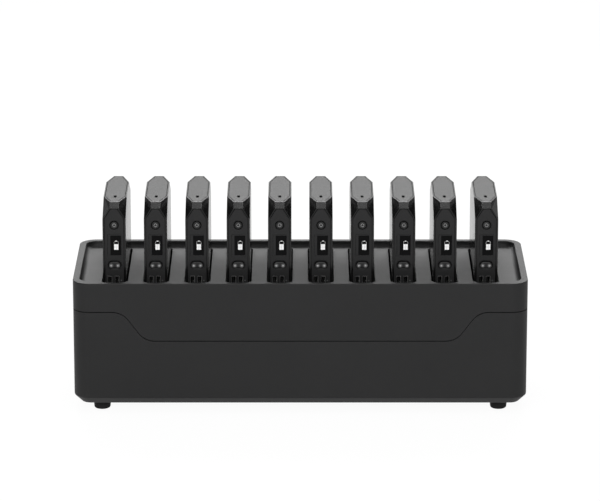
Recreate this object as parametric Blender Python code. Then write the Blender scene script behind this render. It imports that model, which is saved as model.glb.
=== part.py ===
"""Ten-bay desktop charging station with ten upright battery packs.

The origin is on the ground at the middle of the station, +Z is up and the fronts of the packs face -Y.
"""

import math

import bmesh
import bpy
from mathutils import Matrix, Vector

MM = 0.001

# Fits
SEAT_GAP = 0.3 * MM  # between a piece and what it rests on
SLIP_GAP = 0.3 * MM  # around a piece that slides or sits in a hole
OVERCUT = 5 * MM  # how far a cutter runs past the face that it opens

# Bays
BAY_COUNT = 10
BAY_PITCH = 48 * MM

# Battery pack: a slab on edge, its corners cut away by slanted facets
PACK_THICK = 27 * MM
PACK_DEPTH = 135 * MM
PACK_HEIGHT = 122 * MM
NECK_WIDTH = 10.2 * MM  # flat left between the two facets of a corner
NECK_SETBACK = 9.3 * MM  # the neck slopes from the front face back to the top face
SHOULDER_DROP = 21 * MM  # where a facet meets the front edge of the large side face
SHOULDER_SETBACK = 31 * MM  # and its top edge

# Front panel of a pack
PANEL_THICK = 3 * MM
PANEL_INSET = 0.3 * MM  # how far it lies behind the front face
PANEL_ROOM = 3.6 * MM  # depth of its recess
PANEL_BORDER = 3.1 * MM
PANEL_TOP_WIDTH = 8.6 * MM
PANEL_TOP_DROP = 6.9 * MM
PANEL_SHOULDER_DROP = 17.3 * MM

# Things on the front panel, placed down from the top of the pack
BUTTON_DROP = 25.5 * MM
BUTTON_DIAMETER = 10.3 * MM
BUTTON_FACE = 8.5 * MM  # raised middle, inside a lower rim
BUTTON_RIM_DROP = 0.8 * MM
BUTTON_THICK = 2.4 * MM
LENS_DROP = 49.5 * MM
LENS_WIDTH = 15.5 * MM
LENS_HEIGHT = 24.5 * MM
LENS_THICK = 0.8 * MM
KEY_DROP = 73.5 * MM
KEY_WIDTH = 15.3 * MM
KEY_HEIGHT = 9.7 * MM
KEY_THICK = 2.4 * MM
KEY_RIM_WIDTH = 0.75 * MM
KEY_RIM_DROP = 0.8 * MM
PORT_DROP = 86.8 * MM
PORT_SHIFT = -1.4 * MM  # the pair sits left of the middle
PORT_SPACING = 8.4 * MM
PORT_WIDTH = 4.6 * MM
PORT_HEIGHT = 13.5 * MM
PORT_DEPTH = 12 * MM
PORT_MOUTH = 1.2 * MM
TONGUE_THICK = 1.9 * MM
TONGUE_GAP = 0.5 * MM  # narrow side of the tongue

# Ends of a pack
TOP_PORT_SETBACK = 34 * MM
TOP_PORT_WIDTH = 3.2 * MM
TOP_PORT_LENGTH = 9 * MM
TOP_PORT_DEPTH = 6.5 * MM
TOP_PORT_FLAT = 0.32 * MM  # straight stretch of its narrow ends
SOCKET_DIAMETER = 6.6 * MM
SOCKET_DEPTH = 11 * MM

# Slots in the deck
SLOT_SIDE_GAP = 1.35 * MM
SLOT_FRONT_GAP = 30.4 * MM  # leaves the ports at the foot of a docked pack in reach
SLOT_BACK_GAP = 5.6 * MM
SLOT_CORNER = 8 * MM

# Station
FRONT_MARGIN = 4.9 * MM  # from the front face to the slots
BACK_MARGIN = 13.1 * MM
END_MARGIN = 33.15 * MM
CORNER_RADIUS = 20 * MM
FOOT_HEIGHT = 11 * MM
BODY_HEIGHT = 147.5 * MM
RIM_WIDTH = 8 * MM
RECESS_DEPTH = 7 * MM
RECESS_COVE = 6 * MM
DECK_THICK = 3 * MM
SKIRT_WALL = 3 * MM
BASE_CHAMFER = 9 * MM
BASE_FLOOR = 4 * MM

# Parting line between the housings: low in the middle of the front, stepping up to both ends
PARTING_DROP_MIDDLE = 69.5 * MM
PARTING_DROP_END = 34.7 * MM
PARTING_STEP_X = 193.4 * MM
PARTING_STEP_ANGLE = math.radians(53)
PARTING_FILLET = 16 * MM
PARTING_GAP = 0.9 * MM
LIP_HEIGHT = 5 * MM
LIP_THICK = 2 * MM

# Bay frame and charge board
PACK_SINK = 29.3 * MM  # how far a docked pack reaches below the deck
BAY_WALL = 2.5 * MM  # outside the two end bays
BAY_FLOOR = 2.5 * MM
PLUG_DIAMETER = 5.5 * MM
PLUG_REACH = 9.5 * MM  # above the floor of a pocket
PLUG_TIP = 0.4 * MM  # bevel at its end
PLUG_HOLE = 8 * MM
BOARD_DEPTH = 60 * MM
BOARD_THICK = 1.6 * MM

# Power supply
SUPPLY_LENGTH = 250 * MM
SUPPLY_DEPTH = 116 * MM
SUPPLY_HEIGHT = 48 * MM
SUPPLY_FLANGE = 15 * MM
SUPPLY_PLATE = 2 * MM
SUPPLY_WALL = 2 * MM

# Mains inlet in the back of the lower housing
INLET_X = -170 * MM
INLET_HEIGHT = 45 * MM  # middle of the inlet above the underside
INLET_FLANGE = (32 * MM, 24 * MM)
INLET_FLANGE_THICK = 2 * MM
INLET_BODY = (28 * MM, 20 * MM)
INLET_BODY_DEPTH = 18 * MM
INLET_WELL = (24.6 * MM, 16.6 * MM)
INLET_WELL_DEPTH = 15.5 * MM
INLET_WELL_CHAMFER = 4.5 * MM
INLET_PIN = (2 * MM, 4 * MM)
INLET_PIN_LENGTH = 13 * MM
INLET_PIN_ROOT = 1 * MM  # let into the floor of the well
INLET_PIN_SPREAD = 14 * MM
INLET_PIN_RISE = 2 * MM

# Feet
FOOT_DIAMETER = 21.7 * MM
FOOT_TOE_DIAMETER = 19 * MM
FOOT_EDGE = 1.5 * MM
FOOT_SPREAD_X = 232 * MM
FOOT_INSET_Y = 27 * MM
FOOT_PEG_DIAMETER = 8 * MM
FOOT_PEG_HEIGHT = 2.5 * MM

# Smoothness of round edges
CORNER_STEPS = 6
SLOT_STEPS = 4
COVE_STEPS = 4
ROUND_SIDES = 20
SMALL_SIDES = 12

# Worked out from the sizes above
NECK_DROP = NECK_SETBACK * SHOULDER_DROP / SHOULDER_SETBACK  # keeps the facets flat
SLOT_WIDTH = PACK_THICK + 2 * SLOT_SIDE_GAP
SLOT_LENGTH = SLOT_FRONT_GAP + PACK_DEPTH + SLOT_BACK_GAP
WIDTH = (BAY_COUNT - 1) * BAY_PITCH + SLOT_WIDTH + 2 * END_MARGIN
DEPTH = FRONT_MARGIN + SLOT_LENGTH + BACK_MARGIN
BASE = FOOT_HEIGHT
RIM = BASE + BODY_HEIGHT
DECK = RIM - RECESS_DEPTH
LIP_INSET = SKIRT_WALL + SLIP_GAP
PARTING_MIDDLE = RIM - PARTING_DROP_MIDDLE
PARTING_END = RIM - PARTING_DROP_END
SEAT = DECK - PACK_SINK
SLOT_FRONT = FRONT_MARGIN - DEPTH / 2
SLOT_MIDDLE = SLOT_FRONT + SLOT_LENGTH / 2
PACK_MIDDLE = SLOT_FRONT + SLOT_FRONT_GAP + PACK_DEPTH / 2
POCKET_FLOOR = SEAT - SEAT_GAP
BAY_UNDERSIDE = POCKET_FLOOR - BAY_FLOOR
BOARD_TOP = BAY_UNDERSIDE - SEAT_GAP
BAY_CENTRES = [(bay - (BAY_COUNT - 1) / 2) * BAY_PITCH for bay in range(BAY_COUNT)]


def clear_scene():
    for obj in list(bpy.data.objects):
        bpy.data.objects.remove(obj, do_unlink=True)


def new_collection(name):
    collection = bpy.data.collections.new(name)
    bpy.context.scene.collection.children.link(collection)
    return collection


def material(name, colour, roughness, metallic=0.0):
    made = bpy.data.materials.new(name)
    made.use_nodes = True
    shader = made.node_tree.nodes["Principled BSDF"]
    shader.inputs["Base Color"].default_value = (*colour, 1)
    shader.inputs["Roughness"].default_value = roughness
    shader.inputs["Metallic"].default_value = metallic
    made.diffuse_color = (*colour, 1)
    return made


def mesh_of(bm, name):
    bmesh.ops.remove_doubles(bm, verts=bm.verts, dist=1e-6)  # a micrometre
    bmesh.ops.recalc_face_normals(bm, faces=bm.faces)
    mesh = bpy.data.meshes.new(name)
    bm.to_mesh(mesh)
    bm.free()
    return mesh


def add_part(name, mesh, finish, parent=None, location=(0, 0, 0)):
    """A named piece of the assembly; its location is taken from its parent, if it has one."""
    obj = bpy.data.objects.new(name, mesh)
    if not mesh.materials:
        mesh.materials.append(finish)
    parts.objects.link(obj)
    obj.parent = parent
    obj.location = location
    return obj


def add_cutter(name, mesh):
    obj = bpy.data.objects.new(name, mesh)
    cutters.objects.link(obj)
    obj.hide_render = True
    obj.display_type = "WIRE"
    return obj


def combine(obj, other, operation):
    modifier = obj.modifiers.new(f"{operation} {other.name}", "BOOLEAN")
    modifier.operation = operation
    modifier.object = other


def carved(name, mesh, changes):
    """The mesh after a list of (operation, mesh) Booleans, kept as cutters beside the model."""
    obj = add_cutter(name + "_blank", mesh)
    for number, (operation, other) in enumerate(changes, 1):
        combine(obj, add_cutter(f"{name}_{operation.lower()}_{number}", other), operation)
    graph = bpy.context.evaluated_depsgraph_get()
    made = bpy.data.meshes.new_from_object(obj.evaluated_get(graph))
    made.name = name
    return made


def shade_round(mesh, angle=math.radians(35)):
    mesh.shade_smooth()
    mesh.set_sharp_from_angle(angle=angle)
    return mesh


def block(width, depth, low, high, centre=(0, 0), radius=0.0, steps=CORNER_STEPS, foot=None):
    """An upright block with round vertical edges. foot is (size, steps) of a bevel round its underside."""
    bm = bmesh.new()
    bmesh.ops.create_cube(bm, size=1)
    bmesh.ops.scale(bm, verts=bm.verts, vec=(width, depth, high - low))
    bmesh.ops.translate(bm, verts=bm.verts, vec=(*centre, (low + high) / 2))
    if radius:
        upright = [e for e in bm.edges if abs(e.verts[0].co.z - e.verts[1].co.z) > (high - low) / 2]
        bmesh.ops.bevel(
            bm, geom=upright, offset=radius, segments=steps, profile=0.5, affect="EDGES"
        )
    if foot:
        middle = (low + high) / 2
        under = [e for e in bm.edges if all(v.co.z < middle for v in e.verts)]
        bmesh.ops.bevel(
            bm, geom=under, offset=foot[0], segments=foot[1], profile=0.5, affect="EDGES"
        )
    return mesh_of(bm, "block")


def turned(profile, sides=ROUND_SIDES):
    """A solid of revolution about Z from (radius, height) points that start and end on the axis."""
    bm = bmesh.new()
    points = [bm.verts.new((radius, 0, height)) for radius, height in profile]
    edges = [bm.edges.new(pair) for pair in zip(points, points[1:])]
    bmesh.ops.spin(
        bm,
        geom=points + edges,
        axis=(0, 0, 1),
        cent=(0, 0, 0),
        steps=sides,
        angle=2 * math.pi,
        use_merge=True,
    )
    return mesh_of(bm, "turned")


def cylinder(diameter, low, high, centre=(0, 0), sides=ROUND_SIDES):
    mesh = turned([(0, high), (diameter / 2, high), (diameter / 2, low), (0, low)], sides)
    mesh.transform(Matrix.Translation((*centre, 0)))
    return mesh


def prism(outline, near, far):
    """A flat (x, z) outline made solid between two depths along Y."""
    curve = bpy.data.curves.new("outline", "CURVE")
    curve.dimensions = "2D"
    curve.fill_mode = "BOTH"
    curve.extrude = (far - near) / 2
    spline = curve.splines.new("POLY")
    spline.points.add(len(outline) - 1)
    for point, (x, z) in zip(spline.points, outline):
        point.co = (x, z, 0, 1)
    spline.use_cyclic_u = True
    drawn = bpy.data.objects.new("outline", curve)
    cutters.objects.link(drawn)
    graph = bpy.context.evaluated_depsgraph_get()
    mesh = bpy.data.meshes.new_from_object(drawn.evaluated_get(graph))
    bpy.data.objects.remove(drawn)
    mesh.transform(Matrix.Translation((0, (near + far) / 2, 0)) @ Matrix.Rotation(math.pi / 2, 4, "X"))
    bm = bmesh.new()
    bm.from_mesh(mesh)
    return mesh_of(bm, "prism")


def lofted(sections):
    """(y, outline) pairs joined in order, each outline with as many (x, z) points."""
    bm = bmesh.new()
    loops = [[bm.verts.new((x, y, z)) for x, z in outline] for y, outline in sections]
    for near, far in zip(loops, loops[1:]):
        for i in range(len(near)):
            bm.faces.new((near[i - 1], near[i], far[i], far[i - 1]))
    bm.faces.new(loops[0])
    bm.faces.new(loops[-1])
    return mesh_of(bm, "loft")


def rectangle(width, height, centre=(0, 0), chamfer=0.0):
    """An (x, z) outline, with its two upper corners cut if chamfer is given."""
    x, z = width / 2, height / 2
    corners = [(-x, -z), (x, -z)]
    if chamfer:
        corners += [(x, z - chamfer), (x - chamfer, z), (chamfer - x, z), (-x, z - chamfer)]
    else:
        corners += [(x, z), (-x, z)]
    return [(centre[0] + a, centre[1] + b) for a, b in corners]


def circle(diameter):
    """A round (x, z) outline about its own middle."""
    angles = [2 * math.pi * side / ROUND_SIDES for side in range(ROUND_SIDES)]
    return [(diameter / 2 * math.cos(angle), diameter / 2 * math.sin(angle)) for angle in angles]


def pill(width, height, steps=ROUND_SIDES // 2):
    """An (x, z) outline with half-round ends, about its own middle."""
    radius = height / 2
    reach = width / 2 - radius
    ends = []
    for side, start in ((1, -math.pi / 2), (-1, math.pi / 2)):
        for step in range(steps + 1):
            angle = start + math.pi * step / steps
            ends.append((side * reach + radius * math.cos(angle), radius * math.sin(angle)))
    return ends


def moved(mesh, offset):
    mesh.transform(Matrix.Translation(offset))
    return mesh


def copies(mesh, offsets):
    """One mesh that holds the given mesh at each offset."""
    bm = bmesh.new()
    for offset in offsets:
        shifted = mesh.copy()
        shifted.transform(Matrix.Translation(offset))
        bm.from_mesh(shifted)
        bpy.data.meshes.remove(shifted)
    return mesh_of(bm, "copies")


def filleted(corners, radius, steps=CORNER_STEPS):
    """A path of (x, z) points with an arc in place of each inner corner."""
    path = [corners[0]]
    for before, corner, after in zip(corners, corners[1:], corners[2:]):
        here = Vector(corner)
        back = (Vector(before) - here).normalized()
        onward = (Vector(after) - here).normalized()
        half = back.angle(onward) / 2
        centre = here + (back + onward).normalized() * radius / math.sin(half)
        first = here + back * radius / math.tan(half)
        last = here + onward * radius / math.tan(half)
        path.append(tuple(first))  # exactly on the straight stretches, which other cuts share
        for step in range(1, steps):
            spoke = (first - centre).lerp(last - centre, step / steps).normalized() * radius
            path.append(tuple(centre + spoke))
        path.append(tuple(last))
    path.append(corners[-1])
    return path


def parting_line(shift):
    """The (x, z) course of the parting line across the whole station, raised by shift."""
    low, high = PARTING_MIDDLE + shift, PARTING_END + shift
    run = (high - low) / math.tan(PARTING_STEP_ANGLE) / 2
    far = WIDTH / 2 + OVERCUT
    inner, outer = PARTING_STEP_X - run, PARTING_STEP_X + run
    corners = [(-far, high), (-outer, high), (-inner, low), (inner, low), (outer, high), (far, high)]
    return filleted(corners, PARTING_FILLET)


def cut_at_parting(shift, level):
    """Cuts away all between the parting line and a level: stepped in the front half, flat in the back."""
    line = parting_line(shift)
    far, behind = WIDTH / 2 + OVERCUT, DEPTH / 2 + OVERCUT
    closing = [(far, level), (-far, level)]
    stepped = line + closing
    flat = [(x, PARTING_END + shift) for x, _ in line] + closing
    return ("DIFFERENCE", lofted([(-behind, stepped), (0, stepped), (0, flat), (behind, flat)]))


def housing_block(inset, low, high, foot=None):
    """The station's outline, drawn in from its outer face by inset."""
    return block(
        WIDTH - 2 * inset,
        DEPTH - 2 * inset,
        low,
        high,
        radius=CORNER_RADIUS - inset,
        foot=foot,
    )


def in_each_bay(mesh):
    return copies(mesh, [(x, 0, 0) for x in BAY_CENTRES])


def make_upper_housing():
    """Rim, recessed deck with its slots, and the skirt down to the parting line."""
    low = PARTING_MIDDLE + PARTING_GAP / 2
    underside = DECK - DECK_THICK
    slot = block(
        SLOT_WIDTH,
        SLOT_LENGTH,
        underside - OVERCUT,
        RIM + OVERCUT,
        centre=(0, SLOT_MIDDLE),
        radius=SLOT_CORNER,
        steps=SLOT_STEPS,
    )
    mesh = carved(
        "upper_housing",
        housing_block(0, low - OVERCUT, RIM),
        [
            cut_at_parting(PARTING_GAP / 2, low - 2 * OVERCUT),
            ("DIFFERENCE", housing_block(RIM_WIDTH, DECK, RIM + OVERCUT, foot=(RECESS_COVE, COVE_STEPS))),
            ("DIFFERENCE", housing_block(SKIRT_WALL, low - 2 * OVERCUT, underside)),
            ("DIFFERENCE", in_each_bay(slot)),
        ],
    )
    add_part("upper_housing", shade_round(mesh), housing_finish)


def make_lower_housing():
    """Tub with a sloped bottom edge and a lip that rises inside the skirt."""
    top = PARTING_END - PARTING_GAP / 2
    lip = carved(
        "lower_lip",
        housing_block(LIP_INSET, BASE + BASE_CHAMFER, top + LIP_HEIGHT + OVERCUT),
        [cut_at_parting(LIP_HEIGHT - PARTING_GAP / 2, RIM)],
    )
    wall = LIP_INSET + LIP_THICK
    back = DEPTH / 2
    at_inlet = (INLET_X, BASE + INLET_HEIGHT)
    flange = [size + 2 * SLIP_GAP for size in INLET_FLANGE]
    body = [size + 2 * SLIP_GAP for size in INLET_BODY]
    sockets = copies(
        cylinder(FOOT_PEG_DIAMETER + 2 * SLIP_GAP, BASE - OVERCUT, BASE + FOOT_PEG_HEIGHT + SLIP_GAP),
        [(x, y, 0) for x, y, _ in foot_places()],
    )
    mesh = carved(
        "lower_housing",
        housing_block(0, BASE, top + OVERCUT, foot=(BASE_CHAMFER, 1)),
        [
            cut_at_parting(-PARTING_GAP / 2, RIM),
            ("UNION", lip),
            ("DIFFERENCE", housing_block(wall, BASE + BASE_FLOOR, RIM)),
            ("DIFFERENCE", sockets),
            ("DIFFERENCE", prism(rectangle(*body, at_inlet), back - wall - OVERCUT, back + OVERCUT)),
            (
                "DIFFERENCE",
                prism(rectangle(*flange, at_inlet), back - INLET_FLANGE_THICK - SEAT_GAP, back + OVERCUT),
            ),
        ],
    )
    add_part("lower_housing", shade_round(mesh), housing_finish)


def make_bay_frame():
    """Floor with dividers that hold the packs upright; the housing closes the bays at both ends."""
    width = (BAY_COUNT - 1) * BAY_PITCH + SLOT_WIDTH + 2 * BAY_WALL
    depth = DEPTH - 2 * (LIP_INSET + LIP_THICK + SEAT_GAP)
    top = DECK - DECK_THICK - SEAT_GAP
    bay = block(SLOT_WIDTH, depth + 2 * OVERCUT, POCKET_FLOOR, top + OVERCUT)
    hole = cylinder(PLUG_HOLE, BAY_UNDERSIDE - OVERCUT, POCKET_FLOOR + OVERCUT, (0, PACK_MIDDLE))
    mesh = carved(
        "bay_frame",
        block(width, depth, BAY_UNDERSIDE, top),
        [("DIFFERENCE", in_each_bay(bay)), ("DIFFERENCE", in_each_bay(hole))],
    )
    add_part("bay_frame", mesh, inner_finish)


def make_charge_board():
    """Circuit board under the bay frame, with a charge plug standing up into each pocket."""
    width = (BAY_COUNT - 1) * BAY_PITCH + SLOT_WIDTH
    plug = turned(
        [
            (0, POCKET_FLOOR + PLUG_REACH),
            (PLUG_DIAMETER / 2 - PLUG_TIP, POCKET_FLOOR + PLUG_REACH),
            (PLUG_DIAMETER / 2, POCKET_FLOOR + PLUG_REACH - PLUG_TIP),
            (PLUG_DIAMETER / 2, BOARD_TOP - BOARD_THICK / 2),
            (0, BOARD_TOP - BOARD_THICK / 2),
        ],
        SMALL_SIDES,
    )
    plugs = in_each_bay(moved(plug, (0, PACK_MIDDLE, 0)))
    plate = block(width, BOARD_DEPTH, BOARD_TOP - BOARD_THICK, BOARD_TOP, centre=(0, PACK_MIDDLE))
    add_part("charge_board", carved("charge_board", plate, [("UNION", plugs)]), board_finish)


def make_power_supply():
    """Sheet-metal cover with a flange at each end, on the floor of the tub."""
    floor = BASE + BASE_FLOOR + SEAT_GAP
    plate = block(SUPPLY_LENGTH + 2 * SUPPLY_FLANGE, SUPPLY_DEPTH, floor, floor + SUPPLY_PLATE)
    sides = (SUPPLY_LENGTH, SUPPLY_DEPTH - 2 * SUPPLY_PLATE)
    box = block(*sides, floor + SUPPLY_PLATE / 2, floor + SUPPLY_HEIGHT)
    room = block(
        *[side - 2 * SUPPLY_WALL for side in sides],
        floor - OVERCUT,
        floor + SUPPLY_HEIGHT - SUPPLY_WALL,
    )
    mesh = carved("power_supply", plate, [("UNION", box), ("DIFFERENCE", room)])
    add_part("power_supply", mesh, metal_finish)


def make_ac_inlet():
    """Mains inlet with three pins, its flange let into the back wall."""
    at = (INLET_X, BASE + INLET_HEIGHT)
    back = DEPTH / 2
    floor = back - INLET_WELL_DEPTH
    half = INLET_PIN_SPREAD / 2
    pins = [(-half, -INLET_PIN_RISE), (half, -INLET_PIN_RISE), (0, INLET_PIN_RISE)]
    well = prism(rectangle(*INLET_WELL, at, INLET_WELL_CHAMFER), floor, back + OVERCUT)
    changes = [
        ("UNION", prism(rectangle(*INLET_BODY, at), back - INLET_BODY_DEPTH, back - INLET_FLANGE_THICK / 2)),
        ("DIFFERENCE", well),
    ]
    for x, z in pins:
        place = (at[0] + x, at[1] + z)
        pin = prism(rectangle(*INLET_PIN, place), floor - INLET_PIN_ROOT, floor + INLET_PIN_LENGTH)
        changes.append(("UNION", pin))
    flange = prism(rectangle(*INLET_FLANGE, at), back - INLET_FLANGE_THICK, back)
    add_part("ac_inlet", carved("ac_inlet", flange, changes), inner_finish)


def foot_places():
    y = DEPTH / 2 - FOOT_INSET_Y
    return [
        (-FOOT_SPREAD_X, -y, "foot_front_left"),
        (FOOT_SPREAD_X, -y, "foot_front_right"),
        (-FOOT_SPREAD_X, y, "foot_rear_left"),
        (FOOT_SPREAD_X, y, "foot_rear_right"),
    ]


def make_feet():
    """Tapered rubber feet, each pushed into the base by its peg."""
    top = BASE - SEAT_GAP
    mesh = turned(
        [
            (0, BASE + FOOT_PEG_HEIGHT),
            (FOOT_PEG_DIAMETER / 2, BASE + FOOT_PEG_HEIGHT),
            (FOOT_PEG_DIAMETER / 2, top),
            (FOOT_DIAMETER / 2, top),
            (FOOT_TOE_DIAMETER / 2, FOOT_EDGE),
            (FOOT_TOE_DIAMETER / 2 - FOOT_EDGE, 0),
            (0, 0),
        ]
    )
    shade_round(mesh)
    for x, y, name in foot_places():
        add_part(name, mesh, rubber_finish, location=(x, y, 0))


def case_blank():
    """The slab with its corners cut away: the hull of the points where its faces meet."""
    half = PACK_THICK / 2
    neck = NECK_WIDTH / 2
    front = -PACK_DEPTH / 2
    top = PACK_HEIGHT
    corner = [
        (neck, front, top - NECK_DROP),
        (neck, front + NECK_SETBACK, top),
        (half, front, top - SHOULDER_DROP),
        (half, front + SHOULDER_SETBACK, top),
    ]
    bm = bmesh.new()
    for x, y, z in corner:
        for side in (1, -1):
            for end in (1, -1):
                bm.verts.new((side * x, end * y, z))
                bm.verts.new((side * x, end * y, PACK_HEIGHT - z))
    bmesh.ops.convex_hull(bm, input=bm.verts)
    bmesh.ops.dissolve_limit(bm, angle_limit=math.radians(0.5), verts=bm.verts, edges=bm.edges)
    return mesh_of(bm, "case_blank")


def panel_outline(grow=0.0):
    """House-shaped (x, z) outline at both ends, about the pack's foot."""
    half = PACK_THICK / 2 - PANEL_BORDER + grow
    tip = PANEL_TOP_WIDTH / 2 + grow / 2
    upper = [
        (half, PACK_HEIGHT - PANEL_SHOULDER_DROP + grow / 2),
        (tip, PACK_HEIGHT - PANEL_TOP_DROP + grow),
    ]
    right = [(x, PACK_HEIGHT - z) for x, z in reversed(upper)] + upper
    return right + [(-x, z) for x, z in reversed(right)]


def port_centres():
    z = PACK_HEIGHT - PORT_DROP - PORT_HEIGHT / 2
    return [(PORT_SHIFT + side * PORT_SPACING / 2, z) for side in (-1, 1)]


def make_case_mesh():
    """Pack case with the recess for its front panel, port wells round their tongues, and a charge socket."""
    front = -PACK_DEPTH / 2
    recess = front + PANEL_ROOM
    changes = [("DIFFERENCE", prism(panel_outline(SLIP_GAP), front - OVERCUT, recess))]
    wide = PORT_WIDTH - TONGUE_THICK - TONGUE_GAP
    for x, z in port_centres():
        left, right = x - PORT_WIDTH / 2, x + PORT_WIDTH / 2
        mouth = rectangle(PORT_WIDTH, PORT_HEIGHT, (x, z))
        slit = rectangle(TONGUE_GAP, PORT_HEIGHT, (left + TONGUE_GAP / 2, z))
        throat = rectangle(wide, PORT_HEIGHT, (right - wide / 2, z))
        changes.append(("DIFFERENCE", prism(mouth, recess - OVERCUT / 2, recess + PORT_MOUTH)))
        changes.append(("DIFFERENCE", prism(slit, recess, front + PORT_DEPTH)))
        changes.append(("DIFFERENCE", prism(throat, recess, front + PORT_DEPTH)))
    socket = cylinder(SOCKET_DIAMETER, -OVERCUT, SOCKET_DEPTH, sides=SMALL_SIDES)
    top_port = block(
        TOP_PORT_WIDTH,
        TOP_PORT_LENGTH,
        PACK_HEIGHT - TOP_PORT_DEPTH,
        PACK_HEIGHT + OVERCUT,
        centre=(0, front + TOP_PORT_SETBACK),
        radius=(TOP_PORT_WIDTH - TOP_PORT_FLAT) / 2,
        steps=SLOT_STEPS,
    )
    changes += [("DIFFERENCE", socket), ("DIFFERENCE", top_port)]
    return carved("pack_case", case_blank(), changes)


def make_panel_mesh():
    """Front panel with openings for the button, lens, key and ports."""
    near = -PACK_DEPTH / 2 + PANEL_INSET
    far = near + PANEL_THICK
    through = (near - OVERCUT, far + OVERCUT)
    button = circle(BUTTON_DIAMETER + 2 * SLIP_GAP)
    key = pill(KEY_WIDTH + 2 * SLIP_GAP, KEY_HEIGHT + 2 * SLIP_GAP)
    lens = rectangle(LENS_WIDTH + 2 * SLIP_GAP, LENS_HEIGHT + 2 * SLIP_GAP, (0, PACK_HEIGHT - LENS_DROP))
    changes = [
        ("DIFFERENCE", moved(prism(button, *through), (0, 0, PACK_HEIGHT - BUTTON_DROP))),
        ("DIFFERENCE", moved(prism(key, *through), (0, 0, PACK_HEIGHT - KEY_DROP))),
        ("DIFFERENCE", prism(lens, near - OVERCUT, near + LENS_THICK + SEAT_GAP)),
    ]
    for centre in port_centres():
        changes.append(("DIFFERENCE", prism(rectangle(PORT_WIDTH, PORT_HEIGHT, centre), *through)))
    return carved("pack_front_panel", prism(panel_outline(), near, far), changes)


def make_lens_mesh():
    near = -PACK_DEPTH / 2 + PANEL_INSET
    return prism(rectangle(LENS_WIDTH, LENS_HEIGHT), near, near + LENS_THICK)


def make_button_mesh():
    """Round button about its own axis, its face at y = 0 standing above a lower rim."""
    mesh = turned(
        [
            (0, 0),
            (BUTTON_FACE / 2, 0),
            (BUTTON_FACE / 2, -BUTTON_RIM_DROP),
            (BUTTON_DIAMETER / 2, -BUTTON_RIM_DROP),
            (BUTTON_DIAMETER / 2, -BUTTON_THICK),
            (0, -BUTTON_THICK),
        ]
    )
    mesh.transform(Matrix.Rotation(math.pi / 2, 4, "X"))
    return shade_round(mesh)


def make_key_mesh():
    """Pill-shaped key about its rocking axis, which stands upright through its middle."""
    inset = 2 * KEY_RIM_WIDTH
    face = prism(pill(KEY_WIDTH - inset, KEY_HEIGHT - inset), -KEY_THICK / 2, 0)
    body = prism(pill(KEY_WIDTH, KEY_HEIGHT), KEY_RIM_DROP - KEY_THICK / 2, KEY_THICK / 2)
    return carved("pack_twin_key", body, [("UNION", face)])


def make_packs():
    """Ten packs, each carried by an empty on its lift axis at its seat."""
    case, panel, lens = make_case_mesh(), make_panel_mesh(), make_lens_mesh()
    button, key = make_button_mesh(), make_key_mesh()
    front = -PACK_DEPTH / 2 + PANEL_INSET
    for bay, x in enumerate(BAY_CENTRES, 1):
        name = f"pack_{bay:02d}"
        seat = bpy.data.objects.new(name, None)
        seat.location = (x, PACK_MIDDLE, SEAT)
        parts.objects.link(seat)
        add_part(name + "_case", case, case_finish, seat)
        add_part(name + "_front_panel", panel, panel_finish, seat)
        add_part(name + "_display_lens", lens, glass_finish, seat, (0, 0, PACK_HEIGHT - LENS_DROP))
        add_part(name + "_power_button", button, key_finish, seat, (0, front, PACK_HEIGHT - BUTTON_DROP))
        axis = (0, front + KEY_THICK / 2, PACK_HEIGHT - KEY_DROP)
        add_part(name + "_twin_key", key, key_finish, seat, axis)


clear_scene()
parts = new_collection("charging_station")
cutters = new_collection("cutters")

housing_finish = material("housing plastic", (0.028, 0.028, 0.029), 0.5)
inner_finish = material("inner plastic", (0.012, 0.012, 0.012), 0.6)
board_finish = material("circuit board", (0.01, 0.06, 0.03), 0.45)
metal_finish = material("sheet steel", (0.55, 0.55, 0.56), 0.35, 1.0)
rubber_finish = material("foot rubber", (0.008, 0.008, 0.008), 0.8)
case_finish = material("pack case plastic", (0.026, 0.026, 0.027), 0.42)
panel_finish = material("pack panel plastic", (0.03, 0.03, 0.031), 0.45)
glass_finish = material("display glass", (0.004, 0.004, 0.005), 0.1)
key_finish = material("key plastic", (0.02, 0.02, 0.021), 0.4)

make_upper_housing()
make_lower_housing()
make_bay_frame()
make_charge_board()
make_power_supply()
make_ac_inlet()
make_feet()
make_packs()
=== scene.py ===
import math

import bmesh
import bpy
from mathutils import Matrix, Vector


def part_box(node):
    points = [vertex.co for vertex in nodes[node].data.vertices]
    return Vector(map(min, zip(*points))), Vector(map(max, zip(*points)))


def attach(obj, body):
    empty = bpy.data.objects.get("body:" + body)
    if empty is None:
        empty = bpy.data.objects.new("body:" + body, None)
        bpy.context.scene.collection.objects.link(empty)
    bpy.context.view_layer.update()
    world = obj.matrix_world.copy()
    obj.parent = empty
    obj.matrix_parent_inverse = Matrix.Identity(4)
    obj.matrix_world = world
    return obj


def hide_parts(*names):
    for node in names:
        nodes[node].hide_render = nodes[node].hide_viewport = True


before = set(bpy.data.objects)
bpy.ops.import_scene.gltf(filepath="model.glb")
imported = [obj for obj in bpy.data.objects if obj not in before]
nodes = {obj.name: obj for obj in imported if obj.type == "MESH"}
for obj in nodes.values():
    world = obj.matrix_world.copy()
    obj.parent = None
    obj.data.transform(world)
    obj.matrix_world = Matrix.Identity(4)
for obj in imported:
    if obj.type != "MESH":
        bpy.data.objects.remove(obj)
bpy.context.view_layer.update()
mm = 0.001
over = 5 * mm  # how far a cutter runs past what it cuts
weldGap, sameSpot = 2e-6, 1e-6  # points nearer than these are one
smoothAngle = math.radians(32)  # edges that turn more stay sharp
packNames = [f"pack_{number:02d}" for number in range(1, 11)]
halfWidth, halfDepth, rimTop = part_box("upper_housing")[1]
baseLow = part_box("lower_housing")[0].z
print("frame loaded:", len(nodes), "nodes")


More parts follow.
